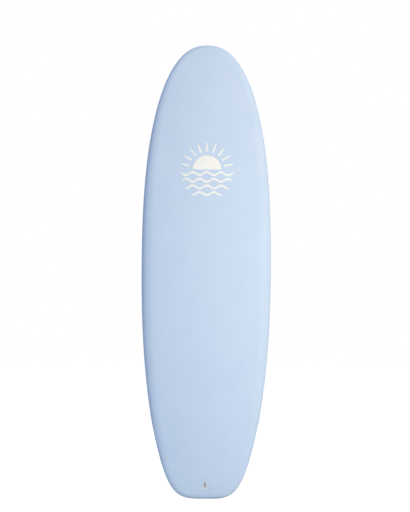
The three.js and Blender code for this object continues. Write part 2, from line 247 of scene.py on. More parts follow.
def bezier(corners, share):
    # Cubic curve: its corners weighted by (1-s)^3, 3s(1-s)^2, 3s^2(1-s) and s^3.
    a, b, c, d = np.asarray(corners, float)
    s = np.asarray(share, float)[..., None]
    return (1 - s) ** 3 * a + 3 * s * (1 - s) ** 2 * b + 3 * s ** 2 * (1 - s) * c + s ** 3 * d


def halfOutline():
    # From the middle of the tail end to the nose tip: a straight end, two Bezier curves, a superellipse.
    f = boardForm
    half, length = f["width"] / 2, f["length"]
    flatSteps, cornerSteps, hipSteps, noseSteps = f["ribSteps"]
    size = np.array([half, length])
    corner = bezier(f["tailCorner"], bend(0, 1, cornerSteps)) * size
    hip = bezier(f["hip"], bend(0, 1, hipSteps)) * size
    flat = corner[0] * bend(0, 1, flatSteps)[:, None]
    turn = bend(0, quarterTurn, noseSteps)[1:]
    wide = f["widePoint"] * length
    nose = stacked(half * np.clip(np.cos(turn), 0, 1) ** (2 / f["noseWidthPower"]),
                   wide + (length - wide) * np.sin(turn) ** (2 / f["noseLengthPower"]))
    nose[-1, 0] = 0
    return np.concatenate([flat, corner[1:], hip[1:], nose])


def spinePlace(rimZ):
    # The spine is shorter than the board, and its points are spread along it as the rim points are.
    f = boardForm
    return f["spineTailInset"] + (f["length"] - f["spineTailInset"] - f["spineNoseInset"]) * rimZ / f["length"]


rightHalf = halfOutline()


def halfWidth(z):
    # Half the board's width at distances from the tail.
    return np.interp(z, rightHalf[:, 1], rightHalf[:, 0])


def makeRibs():
    # A rib runs from each rim point to its point of the spine.
    x, z = np.concatenate([rightHalf, rightHalf[-2:0:-1] * [-1, 1]]).T
    spineZ = spinePlace(z)
    return {"x": x, "z": z, "spineZ": spineZ, "length": np.hypot(x, z - spineZ), "thickness": thickness(z)}


ribs = makeRibs()


def boardPoints(side, turn, inward, depth, past=0.0):
    # A rib at a station: the rail's roll is a superellipse from the rim, then a crown goes on to the spine.
    # side is 1 on the deck and -1 on the bottom, turn goes from the rail round the roll, inward from its
    # end to the spine, depth is under the outer face, and past is a distance on from the turn.
    f = boardForm
    side, turn, inward, depth, past = (np.asarray(v, float)[:, None] for v in np.broadcast_arrays(
        side, turn, inward, depth, past))
    roll = np.where(side > 0, f["deckRoll"], f["bottomRoll"]) * ribs["thickness"]
    turn = turn + past / roll
    reach = np.clip(np.cos(turn), 0, 1) ** (2 / f["rollPower"])
    reach = np.where(inward > 0, 0, reach)
    outerInset = roll * (1 - reach) + inward * (ribs["length"] - roll)
    share = (outerInset + depth * reach) / ribs["length"]
    x = ribs["x"] * (1 - share)
    z = ribs["z"] + (ribs["spineZ"] - ribs["z"]) * share
    t = thickness(z)
    railHeight, band, crown = f["railHeight"] * t, f["railBand"] * t / 2, f["crown"] * t
    rise = np.sin(turn)
    under = railHeight - band - (railHeight - band - depth) * rise
    shoulder = t - railHeight - band - crown
    spread = 1 - outerInset / ribs["length"]
    over = railHeight + band + (shoulder - depth) * rise + crown * (1 - spread ** 2)
    return stacked(x, bottomY - rocker(z) - np.where(side > 0, over, under), z)


def stations(*runs):
    # Joins runs of stations, each given as side, turn, inward, depth and past.
    return [np.concatenate([np.broadcast_to(run[k], np.broadcast(*run).shape) for run in runs]) for k in range(5)]


def edgeMap(grid, seamRow):
    # U is the distance along the rim and V the distance across the skin from its seam edge.
    across = np.linalg.norm(np.diff(grid, axis=0, prepend=grid[:1]), axis=-1).cumsum(axis=0)
    along = np.hypot(np.diff(ribs["x"], prepend=ribs["x"][:1]), np.diff(ribs["z"], prepend=ribs["z"][:1])).cumsum()
    return stacked(along + 0 * across, across[seamRow] - across)


seamTurn = math.radians(boardForm["seamTurn"])


def roundEdge(radius, steps, direction):
    # Turns the outer face down into the seam on a quarter circle: (distance past the seam, depth).
    turn = bend(0, quarterTurn, steps)
    return direction * radius * (1 - np.sin(turn)), radius * (1 - np.cos(turn))


# Deck skin

deckLook = {
    "crownSteps": 44, "rollSteps": 26, "underSteps": 16,
    "edgeRadius": 1.6, "edgeSteps": 4,
    "innerSteps": (8, 9, 5),
}


def deckSkinGrid():
    # Rows of ribs from the spine over the crown and the roll, down round the rail and into the seam on a
    # quarter circle, then back to the spine at the depth of the skin.
    look, skin = deckLook, boardForm["skin"]
    past, depth = roundEdge(look["edgeRadius"], look["edgeSteps"], -1)
    inner = look["innerSteps"]
    outer = [
        (1, quarterTurn, bend(1, 0, look["crownSteps"])[:-1], 0, 0),
        (1, bend(quarterTurn, 0, look["rollSteps"]), 0, 0, 0),
        (-1, bend(0, seamTurn, look["underSteps"])[:-1], 0, 0, past[0] * bend(0, 1, look["underSteps"])[:-1]),
        (-1, seamTurn, 0, depth, past),
    ]
    back = [
        (-1, bend(seamTurn, 0, inner[2]), 0, skin, 0),
        (1, bend(0, quarterTurn, inner[1]), 0, skin, 0),
        (1, quarterTurn, bend(0, 1, inner[0])[1:], skin, 0),
    ]
    grid = boardPoints(*stations(*outer, *back))
    seamRow = look["crownSteps"] + look["rollSteps"] + 1 + look["underSteps"] + look["edgeSteps"]
    return grid, edgeMap(grid, seamRow)


# Bottom skin

bottomLook = {
    "rollSteps": 10, "flatSteps": 26,
    "edgeRadius": 0.8, "edgeSteps": 3,
    "innerSteps": (6, 3),
}


def bottomSkinGrid():
    # Rows of ribs from the spine out at the depth of the skin, up its edge on a quarter circle at the seam gap,
    # then round the rest of the roll and over the flat bottom to the spine.
    look, skin = bottomLook, boardForm["skin"]
    past, depth = roundEdge(look["edgeRadius"], look["edgeSteps"], 1)
    inner, gap = look["innerSteps"], boardForm["seamGap"]
    down = bend(0, 1, look["rollSteps"])[1:]
    rest = quarterTurn - seamTurn
    runs = [
        (-1, quarterTurn, bend(1, 0, inner[0])[:-1], skin, 0),
        (-1, seamTurn + rest * bend(1, 0, inner[1]), 0, skin, gap * bend(0, 1, inner[1])),
        (-1, seamTurn, 0, depth[::-1], gap + past[::-1]),
        (-1, seamTurn + rest * down, 0, 0, (gap + past[0]) * (1 - down)),
        (-1, quarterTurn, bend(0, 1, look["flatSteps"])[1:], 0, 0),
    ]
    grid = boardPoints(*stations(*runs))
    return grid, edgeMap(grid, inner[0] + inner[1] + 1)


# Seats for the hardware: Y points out of the surface and Z along the board


def slope(heightAt, z):
    # Rise over 2 mm of length.
    return float(heightAt(z + 1) - heightAt(z - 1)) / 2


def deckHeight(z):
    # Height of the deck's centre line: rocker plus thickness, less the crown's drop between spine and tail end.
    spread = max(0.0, 1 - z / boardForm["spineTailInset"])
    return rocker(z) + thickness(z) * (1 - boardForm["crown"] * spread ** 2)


def deckSeat(z):
    return turnAbout("x", math.atan2(-slope(deckHeight, z), -1)), [0, bottomY - deckHeight(z), z]


def bottomSeat(x, z, toe, cant):
    lean = turnAbout("x", math.atan(slope(rocker, z)))
    return lean @ turnAbout("y", toe) @ turnAbout("z", cant), [x, bottomY - rocker(z), z]


# Leash plug and its pin

plugLook = {
    "tailInset": 59, "width": 19, "length": 36, "rim": 3.5, "ledge": 1,
    "recessDepth": 15.5, "floor": 4.5, "flangeDepth": 2.5, "proud": 0.4,
    "innerLip": 1.0, "outerLip": 0.4, "floorFillet": 4.4, "draft": 1.4,
    "pinRadius": 2.25, "pinDepth": 6, "pinBevel": 0.4, "pinSides": 40, "gap": 0.3,
    "foamDip": 0.5, "foamDipReach": 7, "foamDipDepth": 3,  # the skin's inner face, further down, stays
    "footBevel": 0.5, "wallLean": 6, "arcSteps": 14,       # the lean is in degrees
}
plugSeat = deckSeat(plugLook["tailInset"])


def plugOutline():
    # Half circles of half the width at both ends.
    half = plugLook["width"] / 2
    return roundedOutline(half, plugLook["length"] / 2, half, plugLook["arcSteps"])


def plugGrid():
    # The oblong outline carries a profile from the recess floor up its wall, over the rim and down outside.
    look = plugLook
    wall, foot, top = -look["rim"], -look["recessDepth"], look["proud"]
    inner, outer, fillet = look["innerLip"], look["outerLip"], look["floorFillet"]
    end, bevel = -(look["recessDepth"] + look["floor"]), look["footBevel"]
    middle = wall - look["draft"] - fillet
    profile = [(middle, foot, 0), *rounding(middle, foot + fillet, fillet, -90, -look["wallLean"], 10)]
    profile += rounding(wall + inner, top - inner, inner, 180, 90, 7)
    profile += rounding(-outer, top - outer, outer, 90, 0)
    profile += [(0, -look["flangeDepth"], 1), (-look["ledge"], -look["flangeDepth"], 1)]
    profile += [(-look["ledge"], end + bevel, 1), (-look["ledge"] - bevel, end, 1), (-look["ledge"] - bevel, end, 0)]
    return sweep(plugOutline(), profile)


def rod(radius, length, bevel, steps):
    # A round bar along X from the middle: the radius is full between its bevelled ends.
    half = length / 2
    place = np.array([-half, -half, -half + bevel, half - bevel, half, half])[:, None]
    reach = np.array([0, radius - bevel, radius, radius, radius - bevel, 0])[:, None]
    turn = bend(0, 2 * math.pi, steps)[:-1]
    return stacked(place + 0 * turn, reach * np.cos(turn), reach * np.sin(turn))


cutterRise = 40  # how far the cutting shapes stand over a face, and how long the pin's bore is


def pocketGrid(outline, ledge, flangeDepth, depth, gap):
    # The space that a flanged piece fills, with a gap round it, open upwards.
    profile = [(gap - ledge, -depth - gap, 0), (gap - ledge, -depth - gap, 1), (gap - ledge, -flangeDepth - gap, 1)]
    profile += [(gap, -flangeDepth - gap, 1), (gap, cutterRise, 1), (gap, cutterRise, 0)]
    return sweep(outline, profile)


# Fins

finLook = {
    "base": 115, "depth": 118, "thickness": 7, "tipThickness": 2.6, "edge": 1.2, "edgePower": 0.3, "thickestPower": 0.7,
    "leading": [(.5, 0), (.33, .42), (-.36, 1.04), (-.7, .92)],  # shares of the base, of the depth
    "trailing": [(-.5, 0), (-.34, .36), (-.52, .72), (-.7, .92)],
    "tipRound": 0.12,  # share of the rise over which the tip closes
    "bladeSteps": 46, "tipSteps": 14, "foilSteps": 26,
    "tabWidth": 6.4, "tabLength": 22, "tabDepth": 13, "tabPitch": 54, "tabRound": 0.9, "tabRoot": 0.3,
    "centreTailInset": 95, "sideTailInset": 290, "sideRailInset": 50, "cant": 6, "toe": 3, "gap": 0.3,
}


def finGrid(flatSide, baseLift):
    # Rise goes up both edge curves and the turn goes round the foil. The chord place is (1 - cos turn)/2.
    # The half thickness swells as the sine of pi times a power of the chord place, it closes at the tip as
    # a quarter circle, and one face stays flat on a side fin.
    look, tip = finLook, finLook["tipRound"]
    rise = np.concatenate([bend(0, 1 - tip, look["bladeSteps"]),
                           1 - tip * np.cos(bend(0, quarterTurn, look["tipSteps"])[1:])])
    size = np.array([look["base"], look["depth"]])
    front = (bezier(look["leading"], rise) * size)[:, None]
    back = (bezier(look["trailing"], rise) * size)[:, None]
    turn = bend(0, 2 * math.pi, 2 * look["foilSteps"])[:-1]
    chord = (1 - np.cos(turn)) / 2
    swell = np.sin(math.pi * chord ** look["thickestPower"])
    edge = look["edge"] / 2 * np.abs(np.sin(turn)) ** look["edgePower"]
    closing = np.sqrt(1 - np.clip((rise - 1 + tip) / tip, 0, 1) ** 2)[:, None]
    most = ((look["thickness"] + (look["tipThickness"] - look["thickness"]) * rise) / 2)[:, None]
    half = (edge + (most - look["edge"] / 2) * swell) * closing
    across = flatSide * (look["thickness"] / 2 - half) * closing + np.sign(np.sin(turn).round(9)) * half
    place = front + (back - front) * chord[:, None]
    grid = stacked(across, place[..., 1] + baseLift, place[..., 0])
    return np.concatenate([closed(grid[:1]), grid])


def tabGrid(along, baseLift):
    # A rounded rectangle carried from a soft edged foot up into the fin's base.
    look = finLook
    outline = roundedOutline(look["tabWidth"] / 2, look["tabLength"] / 2, look["tabRound"], 4)
    low, high, soft = -look["tabDepth"], baseLift + look["tabRoot"], look["tabRound"]
    profile = [(-soft, low, 0)] + rounding(-soft, low + soft, soft, -90, 0) + [(0, high, 1), (0, high, 0)]
    return sweep(outline, profile) + [0, 0, along]


# Middles of the two tabs, half the pitch each side of the fin's middle.
tabPlaces = [-finLook["tabPitch"] / 2, finLook["tabPitch"] / 2]

# Fin screws

screwLook = {
    "radius": 2.4, "length": 6.5, "bevel": 0.5, "tilt": 40, "tipDepth": 8,
    "flats": 2.4, "socketDepth": 3, "socketBevel": 0.15, "socketCone": 0.7, "coneTip": 0.4,
    "threadPitch": 0.8, "threadDepth": 0.32, "threadSlope": 2.7, "ringsPerPitch": 8, "sides": 36,
}
screwTilt = math.radians(screwLook["tilt"])
screwReach = finLook["tabWidth"] / 2 + finLook["gap"] + screwLook["radius"] * math.cos(screwTilt)


def screwSeat(side, along):
    # The screw's tip stands beside the tab, and its axis leans out from the tab by the tilt.
    return turnAbout("z", -side * screwTilt), [side * screwReach, -screwLook["tipDepth"], along]


def screwGrid():
    # Rings up the shank whose radius dips with the fraction of height over pitch less the turn, for the
    # thread, then rings whose radius blends from the circle to the hexagon of the socket.
    look, length = screwLook, screwLook["length"]
    turn = bend(0, 2 * math.pi, look["sides"])[:-1]
    height = bend(0, length, int(length / look["threadPitch"] * look["ringsPerPitch"]))[:, None]
    phase = (height / look["threadPitch"] - turn / (2 * math.pi)) % 1
    groove = np.clip(look["threadSlope"] * (0.5 - np.abs(phase - 0.5)), 0, 1)
    ends = np.clip(np.minimum(height, length - height) / look["bevel"], 0, 1)
    shank = look["radius"] - look["threadDepth"] * groove * ends - look["bevel"] * (1 - ends)
    hexagon = look["flats"] / 2 / np.cos((turn + math.pi / 6) % (math.pi / 3) - math.pi / 6)
    foot, bevel, zero = length - look["socketDepth"], look["socketBevel"], 0 * turn
    end = foot - look["socketCone"]
    radii = np.array([zero, *shank, hexagon + bevel, hexagon, hexagon, look["coneTip"] * hexagon, zero])
    heights = np.array([0, *height[:, 0], length, length - bevel, foot, end, end])[:, None] + zero
    return stacked(radii * np.cos(turn), heights, radii * np.sin(turn))


# Fin boxes

boxLook = {
    "sideWall": 2.4, "endWall": 17, "floor": 4.5, "flangeDepth": 2, "ledge": 3, "slim": 0.3,
    "lip": 0.5, "lipBand": 0.4, "footBevel": 0.6, "slotChamfer": 0.5, "arcSteps": 16,
}


def boxSizes():
    # Half width past the tilted bores' mouths, half length past the tabs, depth under the tabs, bore radius.
    bore = screwLook["radius"] + finLook["gap"]
    mouth = screwReach + screwLook["tipDepth"] * math.tan(screwTilt) + bore / math.cos(screwTilt)
    halfAcross = mouth + boxLook["sideWall"]
    halfAlong = (finLook["tabPitch"] + finLook["tabLength"]) / 2 + boxLook["endWall"]
    return halfAcross, halfAlong, finLook["tabDepth"] + boxLook["floor"], bore


boxHalfAcross, boxHalfAlong, boxDepth, boreRadius = boxSizes()


def boxOutline():
    return roundedOutline(boxHalfAcross, boxHalfAlong, boxHalfAcross, boxLook["arcSteps"])


def boxGrid():
    # The oblong outline carries a flat top, a rounded lip, the flange's step and the body below it.
    look = boxLook
    depth, lip, inset = boxDepth, look["lip"], -look["ledge"] - look["slim"]
    flange, bevel = -look["flangeDepth"], look["footBevel"]
    profile = [(-lip, 0, 0), (-lip - look["lipBand"], 0, 1), *rounding(-lip, -lip, lip, 90, 0), (0, flange, 1)]
    profile += [(inset, flange, 1), (inset, bevel - depth, 1), (inset - bevel, -depth, 1), (inset - bevel, -depth, 0)]
    return sweep(boxOutline(), profile)


def slotGrid(along):
    # The tab's outline with its gap, widening in a chamfer at the box's top.
    look, gap, chamfer, above = finLook, finLook["gap"], boxLook["slotChamfer"], 2
    outline = roundedOutline(look["tabWidth"] / 2 + gap, look["tabLength"] / 2 + gap, look["tabRound"], 4)
    foot, wide = -look["tabDepth"] - gap, chamfer + above
    profile = [(0, foot, 0), (0, foot, 1), (0, -chamfer, 1), (wide, above, 1)]
    profile += [(wide, cutterRise, 1), (wide, cutterRise, 0)]
    return sweep(outline, profile) + [0, 0, along]


def boreGrid():
    # A round bore from under the screw's tip to above the box.
    foot = -finLook["gap"]
    profile = [(0, foot, 0), (0, foot, 1), (0, cutterRise, 1), (0, cutterRise, 0)]
    return sweep(roundedOutline(boreRadius, boreRadius, boreRadius, 8), profile)


# Print on the deck, below the nose

printLook = {
    "fromNose": 543,              # middle of the print from the nose tip
    "height": 0.25, "sunk": 0.1,  # how far the ink stands over the foam, and sits in it at its edges
    "sunRadius": 62, "sunRise": 4, "sunMiddle": 0.4,
    "rays": 9, "rayAngles": (12, 168), "rayStart": 78, "rayEnd": 116, "rayWidth": 9, "rayTaper": 0.45,
    "waves": 4, "reach": 120, "waveStart": 14, "waveStep": 29, "waveHeight": 6.5, "waveLength": 62,
    "waveWidth": 9.5, "waveSteps": 72,
}


def deckSurface(x, z):
    # Finds by halving the rib that passes through a point of the deck, then gives its Y from the crown formula.
    f = boardForm
    low, high = np.zeros_like(z), np.full_like(z, f["length"])
    for _ in range(44):
        rimZ = (low + high) / 2
        share = 1 - np.abs(x) / np.maximum(halfWidth(rimZ), 1e-6)
        found = rimZ + (spinePlace(rimZ) - rimZ) * share
        low, high = np.where(found < z, rimZ, low), np.where(found < z, high, rimZ)
    t = thickness(z)
    return bottomY - rocker(z) - t + f["crown"] * t * (1 - share) ** 2


def printPatch(flat, lift):
    # Lays flat points, given across and up from the print's middle, on the deck and lifts them off it.
    across, z = flat[..., 0], flat[..., 1] + boardForm["length"] - printLook["fromNose"]
    return stacked(across, deckSurface(across, z) - lift, z)


def ribbon(left, right):
    # A closed strip between two lines: high over the deck along both, sunk a little below it at the edges.
    top, sunk = printLook["height"], printLook["sunk"]
    share = np.array([0, 0.04, 0.5, 0.96, 1, 0.5])
    lift = np.array([-sunk, top, top, top, -sunk, -sunk])
    grid = printPatch(left[:, None] + (right - left)[:, None] * share[:, None], lift)
    return np.concatenate([closed(grid[:1]), grid, closed(grid[-1:])])


def sunGrid():
    # Rings of a half disc from its middle out, high over the deck, then its rim and underside.
    look = printLook
    rings = [0, *bend(0.08, 0.985, 12)]
    share = np.array([*rings, 1, 0.5, 0])[:, None]
    lift = np.array([look["height"]] * len(rings) + [-look["sunk"]] * 3)[:, None]
    turn = bend(0, math.pi, 48)
    rim = stacked(np.cos(turn), np.sin(turn))
    base = bend(-1, 1, 24)[1:-1]
    chord = stacked(base, 0 * base)
    around = np.concatenate([rim, chord]) * look["sunRadius"]
    centre = np.array([0, look["sunRadius"] * look["sunMiddle"]])
    return printPatch(centre + (around - centre) * share[..., None] + [0, look["sunRise"]], lift)


def rayGrids():
    # Tapered strips that point away from the sun's middle, at even angles.
    look = printLook
    reach = bend(look["rayStart"], look["rayEnd"], 6)[:, None]
    width = look["rayWidth"] / 2 * (1 - look["rayTaper"] * bend(0, 1, 6))[:, None]
    for angle in np.radians(bend(*look["rayAngles"], look["rays"] - 1)):
        along = np.array([math.cos(angle), math.sin(angle)])
        side = np.array([-along[1], along[0]]) * width
        middle = along * reach + [0, look["sunRise"]]
        yield ribbon(middle - side, middle + side)


def waveGrids():
    # Cosine lines under the sun, each as long as a circle's chord at its height. The width goes with the root
    # of 1 - s^8, where s runs from -1 to 1 along the line.
    look = printLook
    for k in range(look["waves"]):
        middle = look["waveStart"] + look["waveStep"] * k
        half = math.sqrt(look["reach"] ** 2 - middle ** 2)
        s = bend(-1, 1, look["waveSteps"])
        crest = look["waveHeight"] * np.cos(2 * math.pi * s * half / look["waveLength"] + math.pi * k) - middle
        width = look["waveWidth"] / 2 * np.sqrt(np.clip(1 - s ** 8, 0.02, 1))
        yield ribbon(stacked(s * half, crest - width), stacked(s * half, crest + width))


# Materials: shared effects are node groups, the shader stays in each material


def addNode(tree, kind, inputs=(), **settings):
    node = tree.nodes.new(kind)
    for key, value in settings.items():
        setattr(node, key, value)
    for key, value in dict(inputs).items():
        if isinstance(value, bpy.types.NodeSocket):
            tree.links.new(value, node.inputs[key])
        else:
            node.inputs[key].default_value = value
    return node


def mathNode(tree, operation, first, second=0.0, clamp=False):
    return addNode(tree, "ShaderNodeMath", {0: first, 1: second}, operation=operation, use_clamp=clamp).outputs[0]


def rangeNode(tree, value, low, high, toLow=0.0, toHigh=1.0, kind="LINEAR"):
    # Carries a value from one range to another and stops at both ends.
    inputs = {"Value": value, "From Min": low, "From Max": high, "To Min": toLow, "To Max": toHigh}
    return addNode(tree, "ShaderNodeMapRange", inputs, interpolation_type=kind).outputs["Result"]


def mixColors(tree, share, first, second):
    inputs = {"Factor": share, "A": first, "B": second}
    return addNode(tree, "ShaderNodeMix", inputs, data_type="RGBA").outputs[2]


def noiseNode(tree, place, scale, **more):
    inputs = {"Vector": place, "Scale": scale, **more}
    return addNode(tree, "ShaderNodeTexNoise", inputs).outputs["Fac"]


def stretchNode(tree, place, scale):
    return addNode(tree, "ShaderNodeMapping", {"Vector": place, "Scale": scale}).outputs["Vector"]


def newGroup(name, inputs, outputs):
    group = bpy.data.node_groups.new(name, "ShaderNodeTree")
    for direction, sockets in (("INPUT", inputs), ("OUTPUT", outputs)):
        for label, kind in sockets.items():
            group.interface.new_socket(name=label, in_out=direction, socket_type="NodeSocket" + kind)
    return group, group.nodes.new("NodeGroupInput").outputs, group.nodes.new("NodeGroupOutput").inputs


def makeGrainGroup():
    # Fine pebbles: the distance to cell middles mixed with noise, at a grain size in metres.
    group, given, made = newGroup("fineGrain", {"Vector": "Vector", "Grain Size": "Float", "Roundness": "Float"},
                                  {"Height": "Float"})
    scale = mathNode(group, "DIVIDE", 1.0, given["Grain Size"])
    cells = addNode(group, "ShaderNodeTexVoronoi", {"Vector": given["Vector"], "Scale": scale}).outputs["Distance"]
    noise = noiseNode(group, given["Vector"], scale, Detail=3.0, Roughness=0.6)
    mix = addNode(group, "ShaderNodeMix", {"Factor": given["Roundness"], "A": noise, "B": cells})
    group.links.new(mix.outputs["Result"], made["Height"])
    return group


def makeDriftGroup():
    # Soft patches of noise that lead one colour a little way towards another.
    group, given, made = newGroup("tintDrift", {"Vector": "Vector", "Color": "Color", "Other Color": "Color",
                                                "Patch Size": "Float", "Amount": "Float"},
                                  {"Color": "Color"})
    scale = mathNode(group, "DIVIDE", 1.0, given["Patch Size"])
    noise = noiseNode(group, given["Vector"], scale, Detail=4.0, Roughness=0.55)
    amount = mathNode(group, "MULTIPLY", rangeNode(group, noise, 0.32, 0.68), given["Amount"])
    group.links.new(mixColors(group, amount, given["Color"], given["Other Color"]), made["Color"])
    return group


def makeScratchGroup():
    # Hair lines: the thin band where noise stretched along Z crosses its middle value, in broken patches.
    lean, noiseScale, halfBand, patchScale = 1.7, 0.12, 0.006, 14.0
    group, given, made = newGroup("hairLines", {"Vector": "Vector", "Length": "Float", "Width": "Float",
                                                "Amount": "Float"}, {"Mask": "Float"})
    parts = addNode(group, "ShaderNodeSeparateXYZ", {"Vector": given["Vector"]}).outputs
    across, deep, along = (mathNode(group, "DIVIDE", parts[axis], given[size]) for axis, size in (
        ("X", "Width"), ("Y", "Width"), ("Z", "Length")))
    skew = mathNode(group, "ADD", across, mathNode(group, "MULTIPLY", along, lean))
    stretched = addNode(group, "ShaderNodeCombineXYZ", {"X": skew, "Y": deep, "Z": along}).outputs[0]
    noise = noiseNode(group, stretched, noiseScale, Detail=2.0)
    offMiddle = mathNode(group, "ABSOLUTE", mathNode(group, "SUBTRACT", noise, 0.5))
    line = rangeNode(group, offMiddle, halfBand, 0.0)
    patch = rangeNode(group, noiseNode(group, given["Vector"], patchScale), 0.5, 0.62)
    both = mathNode(group, "MULTIPLY", line, patch)
    group.links.new(mathNode(group, "MULTIPLY", both, given["Amount"]), made["Mask"])
    return group


grainGroup, driftGroup, scratchGroup = makeGrainGroup(), makeDriftGroup(), makeScratchGroup()


def newMaterial(name, **constants):
    # Gives the material, its node tree and the place on the object, in metres.
    material = bpy.data.materials.new(name)
    material.use_nodes = True
    tree = material.node_tree
    for key, value in constants.items():
        tree.nodes["Principled BSDF"].inputs[key.replace("_", " ")].default_value = value
    return material, tree, addNode(tree, "ShaderNodeTexCoord").outputs["Object"]


def linearColor(hexCode):
    # A colour as it shows on screen, turned into linear light.
    channels = np.array([int(hexCode[k:k + 2], 16) for k in (0, 2, 4)]) / 255
    linear = np.where(channels <= 0.04045, channels / 12.92, ((channels + 0.055) / 1.055) ** 2.4)
    return (*linear.tolist(), 1.0)


def grainHeight(tree, place, size, roundness):
    inputs = {"Vector": place, "Grain Size": size, "Roundness": roundness}
    return addNode(tree, "ShaderNodeGroup", inputs, node_tree=grainGroup).outputs["Height"]


def driftColor(tree, place, look, patchSize, amount):
    # The look's first colour drifts towards its other one in soft patches.
    inputs = {"Vector": place, "Color": linearColor(look["color"]), "Other Color": linearColor(look["other"]),
              "Patch Size": patchSize, "Amount": amount}
    return addNode(tree, "ShaderNodeGroup", inputs, node_tree=driftGroup).outputs["Color"]


def scratchMask(tree, place, length, width, amount):
    inputs = {"Vector": place, "Length": length, "Width": width, "Amount": amount}
    return addNode(tree, "ShaderNodeGroup", inputs, node_tree=scratchGroup).outputs["Mask"]


def bumpNode(tree, height, distance, normal=None):
    # A height of 1 stands the distance high, in metres.
    inputs = {"Height": height, "Distance": distance}
    if normal:
        inputs["Normal"] = normal
    return addNode(tree, "ShaderNodeBump", inputs).outputs["Normal"]


def feedShader(material, color, normal, value=None, roughness=None):
    # A value of 0 to 1 is spread over the range of roughness.
    tree = material.node_tree
    inputs = tree.nodes["Principled BSDF"].inputs
    tree.links.new(color, inputs["Base Color"])
    tree.links.new(normal, inputs["Normal"])
    if roughness:
        tree.links.new(rangeNode(tree, value, 0.0, 1.0, *roughness), inputs["Roughness"])
    return material


# Lengths in these are metres, colours are as they show on screen, and roughness is a range.

foamLook = {
    "color": "ccddef", "other": "c5d7ec", "patch": 0.09, "amount": 0.5,
    "pressed": "b9cbe0", "pressedAmount": 0.7,  # where the edge is pressed flat along the seam
    "pressedWidth": 0.0035, "pressedFade": 0.006, "pressedDepth": 0.0006,
    "grain": 0.0011, "grainHeight": 0.00012,
    "dimple": 0.022, "dimpleHeight": 0.0005,
    "roughness": (0.62, 0.74),
}


def makeFoam():
    # Matte closed-cell foam: faint patches of tint, fine pebbles on broad shallow dimples, pressed at the seam.
    look = foamLook
    material, tree, place = newMaterial("deckFoam", Specular_IOR_Level=0.35, Sheen_Weight=0.12,
                                                Sheen_Roughness=0.5)
    grain = grainHeight(tree, place, look["grain"], 0.6)
    pressed = seamBand(tree, look["pressedWidth"], look["pressedFade"])
    share = mathNode(tree, "MULTIPLY", pressed, look["pressedAmount"])
    tint = driftColor(tree, place, look, look["patch"], look["amount"])
    broad = bumpNode(tree, grainHeight(tree, place, look["dimple"], 0.2), look["dimpleHeight"])
    line = bumpNode(tree, mathNode(tree, "SUBTRACT", 1.0, pressed), look["pressedDepth"], broad)
    color = mixColors(tree, share, tint, linearColor(look["pressed"]))
    return feedShader(material, color, bumpNode(tree, grain, look["grainHeight"], line), grain, look["roughness"])


def seamBand(tree, width, fade):
    # 1 within a width of the skin's seam edge, fading to 0, from the V of the piece's own edge map.
    uv = addNode(tree, "ShaderNodeUVMap", uv_map="edgeMap").outputs["UV"]
    away = addNode(tree, "ShaderNodeSeparateXYZ", {"Vector": uv}).outputs["Y"]
    return rangeNode(tree, mathNode(tree, "ABSOLUTE", away), width + fade, width, kind="SMOOTHSTEP")


slickLook = {
    "color": "e9ecea", "other": "dfe4e4", "patch": 0.3, "amount": 0.7,
    "peel": 0.006, "peelHeight": 0.00012,
    "scratchLength": 0.09, "scratchWidth": 0.0011, "scratchDepth": 0.00004, "scratchAmount": 0.6,
    "roughness": (0.27, 0.5),
}


def makeSlick():
    # Slick sheet: a faint peel over the foam under it, and hair scratches drawn along the board.
    look = slickLook
    material, tree, place = newMaterial("slickBottom", IOR=1.51)
    wavy = bumpNode(tree, grainHeight(tree, place, look["peel"], 0.0), look["peelHeight"])
    lines = scratchMask(tree, place, look["scratchLength"], look["scratchWidth"], look["scratchAmount"])
    cut = bumpNode(tree, mathNode(tree, "SUBTRACT", 1.0, lines), look["scratchDepth"], wavy)
    tint = driftColor(tree, place, look, look["patch"], look["amount"])
    return feedShader(material, tint, cut, lines, look["roughness"])


mouldedLook = {
    "plug": {"color": "f8f8f3", "other": "f1f2ec", "roughness": (0.34, 0.5)},
    "box": {"color": "dfe3e1", "other": "d0d5d4", "roughness": (0.38, 0.52)},
    "grain": 0.0007, "grainHeight": 0.00003, "patch": 0.02, "scuffLength": 0.02, "scuffWidth": 0.0005,
}


def makeMoulded(key):
    # Pale moulded plastic with a fine grain, a little light carried under its surface and a few scuffs.
    shared, look = mouldedLook, mouldedLook[key]
    material, tree, place = newMaterial(f"{key}Plastic", IOR=1.5, Subsurface_Weight=0.5,
                                                Subsurface_Scale=0.004, Subsurface_Radius=(1.0, 0.95, 0.85))
    grain = grainHeight(tree, place, shared["grain"], 0.4)
    scuffs = scratchMask(tree, place, shared["scuffLength"], shared["scuffWidth"], 0.5)
    tint = driftColor(tree, place, look, shared["patch"], 0.8)
    fine = bumpNode(tree, grain, shared["grainHeight"])
    return feedShader(material, tint, fine, mathNode(tree, "ADD", grain, scuffs), look["roughness"])


finSurface = {
    "color": "24282c", "other": "30363b", "fleck": "4a5258",
    "grain": 0.0009, "grainHeight": 0.00005, "flow": 0.012, "fibreLength": 0.006, "fibreWidth": 0.0006,
    "roughness": (0.3, 0.48),
}


def makeFinNylon():
    # Dark glass-filled nylon: flow streaks along the fin, short pale fibre flecks and a satin mould grain.
    look = finSurface
    material, tree, place = newMaterial("finNylon", IOR=1.53)
    grain = grainHeight(tree, place, look["grain"], 0.5)
    tint = driftColor(tree, stretchNode(tree, place, (1.0, 0.35, 1.0)), look, look["flow"], 0.9)
    fibres = scratchMask(tree, place, look["fibreLength"], look["fibreWidth"], 0.55)
    color = mixColors(tree, fibres, tint, linearColor(look["fleck"]))
    return feedShader(material, color, bumpNode(tree, grain, look["grainHeight"]), grain, look["roughness"])


